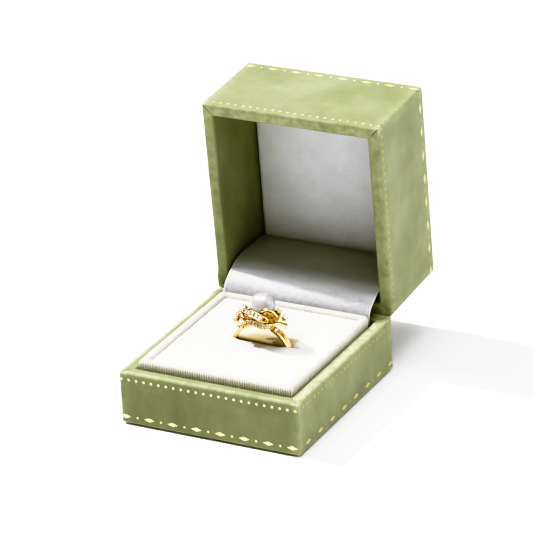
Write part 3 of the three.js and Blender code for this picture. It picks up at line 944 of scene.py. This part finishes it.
def apron():
    """The satin strip over the hinge: a curved sheet with a fine white selvedge on both sides."""
    steps = 80
    columns = steps + 1
    cells = 90
    line, length = catmull([(y * MM, z * MM, 0) for y, z in APRON_PROFILE], steps)
    half = 25.1 * MM
    thick = 0.3 * MM
    selvedge = 0.5 * MM
    points = []
    woven = []
    crinkled = []
    for side in (1, -1):
        for i in range(cells + 1):
            x = -half + 2 * half * i / cells
            for k, p in enumerate(line):
                t = k / steps
                along = along_line(line, k)
                up = Vector((-along.y, along.x, 0))
                middle = math.sin(math.pi * t)
                lift = 0.10 * MM * noise.noise(Vector((x * 110, k * 0.16, 2)))
                lift += 0.05 * MM * noise.noise(Vector((x * 420, k * 0.5, 5))) * (1 - t)
                lift -= 0.035 * x * middle * (1 - t)
                edge = max(0, 1 - (half - abs(x)) / selvedge)
                lift += 0.12 * MM * math.sin(math.pi * edge)
                q = p + up * (lift * middle ** 0.5 + side * thick / 2)
                points.append(Vector((x, q.x, q.y)))
                woven.append(min(1, edge * 1.5))
                crinkled.append(1 - smoothstep((t - 0.16) / 0.18))
    size = (cells + 1) * columns
    faces = grid_faces(cells + 1, columns)
    faces += [tuple(size + v for v in reversed(face)) for face in faces]
    rim = grid_border(cells + 1, columns)
    for a, b in zip(rim, rim[1:] + rim[:1]):
        faces.append((a, b, size + b, size + a))
    marks = {"selvedge": woven, "crinkled": crinkled}
    piece = mesh_object("satin_apron", points, faces, APRON_SATIN, marks)
    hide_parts("apron")
    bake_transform(piece)


apron()


# ---------------------------------------------------------------- ring

HEAD_MIDDLE = RING_MIDDLE + Vector((0.2 * MM, 0, 0))
# in millimetres about the head's middle, as all points of the ring are
PEARL_AT = Vector((0.5, 0, 16.1))
PEARL_SIZE = 4.0


class Solid:
    """Collects the closed shapes that make up one piece, given in millimetres about a middle."""

    def __init__(self, middle=HEAD_MIDDLE):
        self.middle = middle
        self.points = []
        self.faces = []

    def add(self, points, faces):
        first = len(self.points)
        self.points += [self.middle + Vector(p) * MM for p in points]
        self.faces += [tuple(first + v for v in face) for face in faces]

    def add_rows(self, rows, loop=False):
        """Rows of points, each a closed outline, joined one after another."""
        size = len(rows), len(rows[0])
        faces = grid_faces(*size, wrap_rows=True, wrap_columns=True) if loop else tube_faces(*size)
        self.add([p for row in rows for p in row], faces)

    def piece(self, name, material, slot, *nodes):
        piece = mesh_object(name, self.points, self.faces, material)
        if nodes:
            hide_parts(*nodes)
        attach(piece, "ring")
        return piece


def axes_about(direction):
    """Two directions square to the given one."""
    start = Vector((0, 1, 0)) if abs(direction.y) < 0.9 else Vector((1, 0, 0))
    side = direction.cross(start).normalized()
    return side, direction.normalized().cross(side)


def turned(base, axis, profile, sides=32):
    """Rows of a turned shape from (radius, distance along the axis) points."""
    side, other = axes_about(axis)
    axis = axis.normalized()
    return [oval(base + axis * along, side * radius, other * radius, sides) for radius, along in profile]


def path_frames(points, count, focus=None):
    """Evenly spaced places on a smooth curve, each with its way along, outward and across."""
    line, _ = catmull([tuple(p) for p in points], count)
    frames = []
    for k, place in enumerate(line):
        along = along_line(line, k)
        outward = (place - Vector(focus)) if focus else Vector((0.3, -1, 0.2))
        outward = (outward - along * outward.dot(along)).normalized()
        frames.append((place, along, outward, along.cross(outward)))
    return frames


def oval(place, first, second, count):
    """Points round an ellipse with the two given half axes."""
    angles = [2 * math.pi * j / count for j in range(count)]
    return [place + first * math.cos(a) + second * math.sin(a) for a in angles]


def wire(solid, points, radius, count=40, sides=12, ends=0.35):
    """A round wire that narrows to rounded ends."""
    rows = []
    for k, (place, _, outward, across) in enumerate(path_frames(points, count)):
        t = min(k, count - k) / count
        r = radius * (1 - (1 - min(1, t / 0.06)) ** 2 * (1 - ends))
        rows.append(oval(place, outward * r, across * r, sides))
    solid.add_rows(rows)


def band():
    """The shank: domed, wider at its shoulders, with two grooves along the right shoulder."""
    rows = []
    steps = 200
    inner = 9.05
    shoulder_slope, shoulder_spread = 42, 24
    for k in range(steps):
        angle = 2 * math.pi * k / steps
        out = Vector((math.cos(angle), 0, math.sin(angle)))
        slope = math.degrees(math.asin(abs(out.z)))
        shoulder = math.exp(-((slope - shoulder_slope) / shoulder_spread) ** 2) if out.z > 0 else 0
        half_width = 1.1 + 0.3 * shoulder
        outer = 10.3 + 0.2 * shoulder
        groove = 0.3 * shoulder if out.x > 0 else 0
        section = []
        for j in range(17):
            across = -1 + j / 8
            dome = 0.3 * (1 - across * across)
            cut = groove * math.exp(-(((abs(across) - 0.33) / 0.14) ** 2))
            section.append((outer - 0.25 + dome - cut, across * half_width))
        for j in range(1, 7):
            across = 1 - 2 * j / 7
            section.append((inner + 0.15 * across * across, across * (half_width - 0.1)))
        rows.append([out * r + Vector((0, w, 0)) for r, w in section])
    solid = Solid(BAND_MIDDLE)
    solid.add_rows(rows, loop=True)
    sharpen(solid.piece("ring_shank", GOLD, "gold", "ring_band"), 38)


def hull(points):
    """The faces of the convex shape round some points."""
    work = bmesh.new()
    for p in points:
        work.verts.new(p)
    bmesh.ops.convex_hull(work, input=work.verts)
    loose = [v for v in work.verts if not v.link_faces]
    bmesh.ops.delete(work, geom=loose, context="VERTS")
    work.verts.index_update()
    result = [v.co.copy() for v in work.verts], [tuple(v.index for v in f.verts) for f in work.faces]
    work.free()
    return result


def circle_of(radius, height, count, shift=0.0):
    angles = [2 * math.pi * (k + shift) / count for k in range(count)]
    return [Vector((radius * math.cos(a), radius * math.sin(a), height)) for a in angles]


# the table, crown, girdle, pavilion and point of a stone with a radius of 1
BRILLIANT = hull(
    circle_of(0.56, 0.32, 8)
    + circle_of(0.81, 0.2, 8, 0.5)
    + circle_of(1, 0.02, 16)
    + circle_of(1, -0.03, 16)
    + circle_of(0.5, -0.42, 8, 0.5)
    + [Vector((0, 0, -0.85))]
)


def stone(solid, centre, axis, radius):
    """One round brilliant-cut stone."""
    side, other = axes_about(axis)
    axis = axis.normalized()
    points, faces = BRILLIANT
    placed = [centre + (side * p.x + other * p.y + axis * p.z) * radius for p in points]
    solid.add(placed, faces)


def bead(solid, centre, axis, radius):
    """A small raised grain of metal that holds a stone."""
    profile = [(radius * math.cos(a), radius * math.sin(a)) for a in (-0.9, -0.3, 0.3, 0.8, 1.25)]
    solid.add_rows(turned(centre, axis, profile, 8))


def pave_ribbon(name, node, points, focus, width, stones_between, stone_radius):
    """A flat ribbon with raised rails and a row of stones between them."""
    metal = Solid()
    stones = Solid()
    count = 90
    frames = path_frames(points, count, focus)
    half = width / 2
    rail = 0.24
    rows = []
    for k, (place, _, outward, across) in enumerate(frames):
        t = min(k, count - k) / count
        narrow = 0.35 + 0.65 * math.sqrt(min(1, t / 0.16))
        w = half * narrow
        section = [(-w, -0.38), (w, -0.38), (w + 0.04, -0.1)]
        section += arc((w - rail + 0.04, 0.02), rail, 0, math.pi, 6)
        section += [(w - 2 * rail, -0.16), (-w + 2 * rail, -0.16)]
        section += arc((-w + rail - 0.04, 0.02), rail, 0, math.pi, 6)
        section += [(-w - 0.04, -0.1)]
        rows.append([place + across * a + outward * n for a, n in section])
    metal.add_rows(rows)
    first, last = stones_between
    length = sum((frames[k + 1][0] - frames[k][0]).length for k in range(count))
    number = int(length * (last - first) / (2 * stone_radius + 0.14))
    for k in range(number):
        position = (first + (last - first) * (k + 0.5) / number) * count
        place, along, outward, across = frames[round(position)]
        stone(stones, place + outward * 0.02, outward, stone_radius)
        for sign in (-1, 1):
            grain = place + along * (stone_radius + 0.05) + across * sign * stone_radius * 0.75
            bead(metal, grain + outward * 0.06, outward, 0.13)
    sharpen(metal.piece(name, GOLD, "gold", node), 50)
    stones.piece(name + "_pave", STONE, "gem").data.shade_flat()


def setting(number, at, axis, radius, claws):
    """A tapered cup with claws bent over the edge of its stone."""
    metal = Solid()
    stones = Solid()
    axis = axis.normalized()
    side, other = axes_about(axis)
    cup = [
        (0.34, -1.75), (0.46, -1.7), (0.62, -1.2), (0.86, -0.55), (1.06, -0.18), (1.12, -0.02),
        (1.08, 0.08), (1.0, 0.08), (0.95, 0.0), (0.84, -0.2), (0.5, -0.75), (0.1, -1.05),
    ]
    metal.add_rows(turned(at, axis, [(r * radius, z * radius) for r, z in cup], 28))
    for k in range(claws):
        angle = 2 * math.pi * (k + 0.5) / claws
        out = side * math.cos(angle) + other * math.sin(angle)
        claw = [(1.02, -0.7), (1.14, -0.2), (1.13, 0.12), (0.98, 0.3), (0.78, 0.33)]
        wire(metal, [at + (out * r + axis * z) * radius for r, z in claw], 0.2 * radius, 12, 8, 0.6)
    stone(stones, at + axis * 0.06 * radius, axis, 0.94 * radius)
    sharpen(metal.piece(f"setting_{number}", GOLD, "gold", f"collet_{number}"), 60)
    stones.piece(f"cut_stone_{number}", STONE, "gem", f"diamond_{number}").data.shade_flat()


def leaf():
    """The plain leaf: a curled sheet of gold that flares from the ribbons to an open end."""
    solid = Solid()
    count = 28
    tall_start, tall_end = 0.6, 1.2
    deep_start, deep_end = 0.5, 0.8
    frames = path_frames([(5.2, -2.8, 12.3), (6.6, -2.6, 12.6), (8, -2.3, 12.4), (9.6, -1.9, 11.75)], count)
    rows = []
    for k, (place, _, outward, across) in enumerate(frames):
        t = k / count
        tall = tall_start + (tall_end - tall_start) * t ** 1.5
        deep = deep_start + (deep_end - deep_start) * t
        rows.append(oval(place, across * tall, outward * deep, count))
    place, along, outward, across = frames[-1]
    for inner, back in ((0.94, -0.08), (0.84, 0.0), (0.76, 0.2), (0.5, 0.9), (0.15, 1.3)):
        middle = place - along * back
        rows.append(oval(middle, across * tall_end * inner, outward * deep_end * inner, count))
    solid.add_rows(rows)
    sharpen(solid.piece("plain_leaf", GOLD, "gold", "ring_leaf"), 70)


def pearl_seat():
    """The cup and peg that hold the pearl, in the middle of a fluted oval basket."""
    cup = [
        (0.9, 10.05), (0.75, 10.6), (0.9, 11.3), (1.6, 12.0), (2.5, 12.75), (2.62, 12.85), (2.5, 12.95),
        (1.5, 12.1), (0.6, 11.85),
    ]
    basket = [
        (0.4, 10.05), (0.62, 10.4), (0.82, 11.1), (0.94, 12.0), (1.0, 13.0), (1.0, 13.15), (0.96, 13.2),
        (0.92, 13.1), (0.88, 12.2), (0.78, 11.4), (0.6, 10.9), (0.3, 10.7),
    ]
    half_long, half_short = 5.9, 4.35
    steps, flutes = 144, 24
    fan_angle, fan_spread = -0.85, 0.7
    solid = Solid()
    solid.add_rows(turned(Vector((PEARL_AT.x, 0, 0)), Vector((0, 0, 1)), cup, 40))
    rows = []
    for size, height in basket:
        row = []
        for k in range(steps):
            a = 2 * math.pi * k / steps
            flute = 1 + 0.035 * math.cos(flutes * a)
            off_front_right = math.remainder(a - fan_angle, 2 * math.pi)
            fan = 0.75 * max(0, height - 10) * math.exp(-((off_front_right / fan_spread) ** 2))
            at = Vector((half_long * math.cos(a), half_short * math.sin(a), 0)) * size * flute
            row.append(at + Vector((0, 0, height + fan)))
        rows.append(row)
    solid.add_rows(rows)
    sharpen(solid.piece("pearl_seat", DEEP_GOLD, "gold", "ring_cup"), 60)


def pearl():
    """Almost round, with the faint unevenness of a real pearl."""
    rings, sides = 64, 96
    uneven = 0.03
    rows = []
    for i in range(1, rings):
        a = math.pi * i / rings
        row = []
        for j in range(sides):
            b = 2 * math.pi * j / sides
            out = Vector((math.sin(a) * math.cos(b), math.sin(a) * math.sin(b), math.cos(a)))
            radius = PEARL_SIZE - uneven + uneven * noise.noise(out * 2.2 + Vector((4, 4, 4)))
            row.append(PEARL_AT + out * radius)
        rows.append(row)
    solid = Solid()
    solid.add_rows(rows)
    solid.piece("nacre_pearl", PEARL, "pearl", "pearl")


def ring():
    band()
    pearl_seat()
    pearl()
    pave_ribbon(
        "pave_ribbon_front", "ring_ribbon_front",
        [
            (-3.6, -3.7, 11.6), (-1, -4.7, 12.2), (1.1, -5.1, 12.0), (3, -5.1, 11.6),
            (4.7, -4.6, 11.5), (6, -3.9, 12.2),
        ],
        (0, 0, 10), 1.75, (0.08, 0.92), 0.46,
    )
    pave_ribbon(
        "pave_ribbon_upper", "ring_ribbon_upper",
        [
            (-3.9, -3.2, 14.5), (-2.4, -4.4, 15.1), (-0.7, -5.1, 15.3), (1.2, -5.3, 14.9),
            (2.9, -5, 14.2), (4.4, -4.1, 13.3),
        ],
        (0, 0, 12.3), 2.0, (0.06, 0.8), 0.58,
    )
    pave_ribbon(
        "pave_ribbon_rear", "ring_ribbon_rear",
        [
            (-6.4, 2.4, 10.9), (-4.4, 3.8, 12), (-1, 5.1, 12.4), (2.4, 4.9, 12.2),
            (5, 3.6, 11.6), (7, 2.2, 10.6),
        ],
        (0, 0, 10), 1.8, (0.08, 0.92), 0.48,
    )
    rail = Solid()
    bend = [(2.2, -4.5, 16.2), (3.4, -4.2, 16.8), (4.6, -3.4, 16.7), (5.8, -2.8, 15.8), (6.8, -2.5, 14.4)]
    wire(rail, bend, 0.36)
    rail.piece("loop_rail", GOLD, "gold", "ring_loop")
    leaf()
    for number, (at, lean, radius, claws) in enumerate((
        ((-5.5, -1.7, 14.6), (-0.5, -0.35, 0.8), 1.3, 6),
        ((-7.7, -1.6, 11.7), (-0.75, -0.35, 0.55), 1.2, 6),
        ((-5.3, -3.2, 10.9), (-0.35, -0.75, 0.55), 1.35, 6),
        ((5.7, 0.3, 15.1), (0.4, -0.1, 0.9), 0.85, 4),
        ((8.0, 0.0, 13.5), (0.62, -0.1, 0.75), 0.85, 4),
    ), 1):
        setting(number, Vector(at), Vector(lean), radius, claws)


ring()


# ---------------------------------------------------------------- hinge spring

# the strip's middle line as (y, z) in millimetres, from the base's wall up to the lid's
SPRING_PROFILE = [(26.75, 17.3), (27.3, 19.3), (28.9, 21.2), (31.2, 22.25)]


def spring():
    """The bowed steel strip behind the apron, narrowed to rounded ends."""
    steps, cells = 48, 12
    line, length = catmull([(y * MM, z * MM, 0) for y, z in SPRING_PROFILE], steps)
    thick = 0.26 * MM
    points = []
    for k, p in enumerate(line):
        along = along_line(line, k)
        up = Vector((-along.y, along.x, 0)) * thick / 2
        to_end = min(k, steps - k) / steps * length
        half = 4 * MM - 1.2 * MM * (1 - math.sqrt(min(1, to_end / (1.5 * MM))))
        across = [-half + 2 * half * j / cells for j in range(cells + 1)]
        points += [Vector((x, p.x + up.x, p.y + up.y)) for x in across]
        points += [Vector((x, p.x - up.x, p.y - up.y)) for x in reversed(across)]
    faces = tube_faces(steps + 1, 2 * (cells + 1))
    piece = mesh_object("bowed_spring", points, faces, STEEL)
    sharpen(piece, 50)
    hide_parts("hinge_spring")
    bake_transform(piece)


spring()


# ---------------------------------------------------------------- carried-over CAD nodes

for names, material in (
    (("base_shell", "lid_shell"), FIBREBOARD),
    (("insert_board", "lid_pad_board"), CARD),
    (("base_sole",), FELT),
    (("hinge_leaf_base", "hinge_leaf_lid", "hinge_pin"), STEEL),
):
    for node_name in names:
        node = frame["nodes"][node_name]
        node.data.materials.clear()
        node.data.materials.append(material)


# ---------------------------------------------------------------- stage, light and camera

FLOOR_SIZE = 6
SCENE_MIDDLE = Vector((0, 0, 30 * MM))


def add_floor():
    bpy.ops.mesh.primitive_plane_add(size=FLOOR_SIZE, location=(0, 0, 0))
    floor = bpy.context.object
    floor.name = "floor"
    s = Shader("pale_floor")
    s.set(Base_Color=s.greys(s.noise(3, 2), 0.95, 0.97), Roughness=0.9, Specular_IOR_Level=0.1)
    floor.data.materials.append(s.material)


def add_lamp(name, kind, position, color=(1, 1, 1), **settings):
    """A lamp that shines from its position towards the middle of the scene."""
    light = bpy.data.lights.new(name, kind)
    light.color = color
    for key, value in settings.items():
        setattr(light, key, value)
    lamp = bpy.data.objects.new(name, light)
    lamp.location = position
    direction = SCENE_MIDDLE - lamp.location
    lamp.rotation_euler = direction.to_track_quat("-Z", "Y").to_euler()
    bpy.context.scene.collection.objects.link(lamp)


def add_strip():
    """A long lamp overhead, along X: its shadows are crisp behind edges along X and soft elsewhere.
    It faces straight down."""
    light = bpy.data.lights.new("key_strip", "AREA")
    light.shape = "RECTANGLE"
    light.size = 1.3
    light.size_y = 0.13
    light.energy = 8.8
    lamp = bpy.data.objects.new("key_strip", light)
    lamp.location = (-0.22, -0.085, 1.1)
    bpy.context.scene.collection.objects.link(lamp)


def add_world():
    world = bpy.data.worlds.new("studio")
    bpy.context.scene.world = world
    world.use_nodes = True
    background = world.node_tree.nodes["Background"]
    background.inputs["Color"].default_value = (1, 0.93, 0.78, 1)
    background.inputs["Strength"].default_value = 0.07


def add_camera():
    """The camera fitted to the photo, with the scene a little off the middle of its view."""
    azimuth = math.radians(28.6)
    elevation = math.radians(24.36)
    roll = math.radians(-3.06)
    distance = 1.0353
    shift_right, shift_up = 3.59 * MM, 12.0 * MM
    level = math.cos(elevation)
    toward = Vector((math.sin(azimuth) * level, -math.cos(azimuth) * level, math.sin(elevation)))
    right = (-toward).cross(Vector((0, 0, 1))).normalized()
    up = right.cross(-toward)
    right, up = (
        right * math.cos(roll) + up * math.sin(roll),
        up * math.cos(roll) - right * math.sin(roll),
    )
    data = bpy.data.cameras.new("camera")
    data.lens = 232.9
    data.sensor_width = 36
    camera = bpy.data.objects.new("camera", data)
    camera.matrix_world = Matrix((right, up, toward)).transposed().to_4x4()
    camera.location = SCENE_MIDDLE + right * shift_right + up * shift_up + toward * distance
    bpy.context.scene.collection.objects.link(camera)
    bpy.context.scene.camera = camera


WHITE_LEVEL = 2.0
TONE_CURVE = [
    (0, 0), (0.04, 0.012), (0.08, 0.055), (0.15, 0.165), (0.25, 0.39), (0.36, 0.67), (0.5, 0.89),
    (0.62, 0.945), (0.72, 0.968), (0.84, 0.992), (1, 1),
]
BLUE_CURVE = [(0.026, 0.015), (0.06, 0.048), (0.1, 0.092), (0.18, 0.182), (0.3, 0.325), (0.55, 0.56)]


def set_tone():
    """A camera's S-shaped response: deep mid-tones and highlights that roll off into white.
    The blue curve makes the shadows a little warmer."""
    view = bpy.context.scene.view_settings
    view.view_transform = "Standard"
    view.use_curve_mapping = True
    mapping = view.curve_mapping
    mapping.white_level = (WHITE_LEVEL, WHITE_LEVEL, WHITE_LEVEL)
    points = mapping.curves[3].points
    points[0].location = TONE_CURVE[0]
    points[1].location = TONE_CURVE[-1]
    for x, y in TONE_CURVE[1:-1]:
        points.new(x, y)
    for x, y in BLUE_CURVE:
        mapping.curves[2].points.new(x, y)
    mapping.update()


add_floor()
add_world()
add_strip()
add_lamp("left_key", "SUN", (-1.0, -0.003, 1.18), energy=3.4, angle=math.radians(2.2))
add_lamp("top_softbox", "SUN", (-0.12, -0.02, 1.0), energy=1.0, angle=math.radians(40))
add_lamp("right_softbox", "SUN", (1.0, 0.12, 0.38), energy=0.53, angle=math.radians(50))
add_lamp("back_wash", "SUN", (0.7, 0.9, 0.9), energy=1.8, angle=math.radians(90))
add_lamp("front_card", "SUN", (0.3, -0.8, 0.6), energy=0.46, angle=math.radians(70))
add_camera()
set_tone()
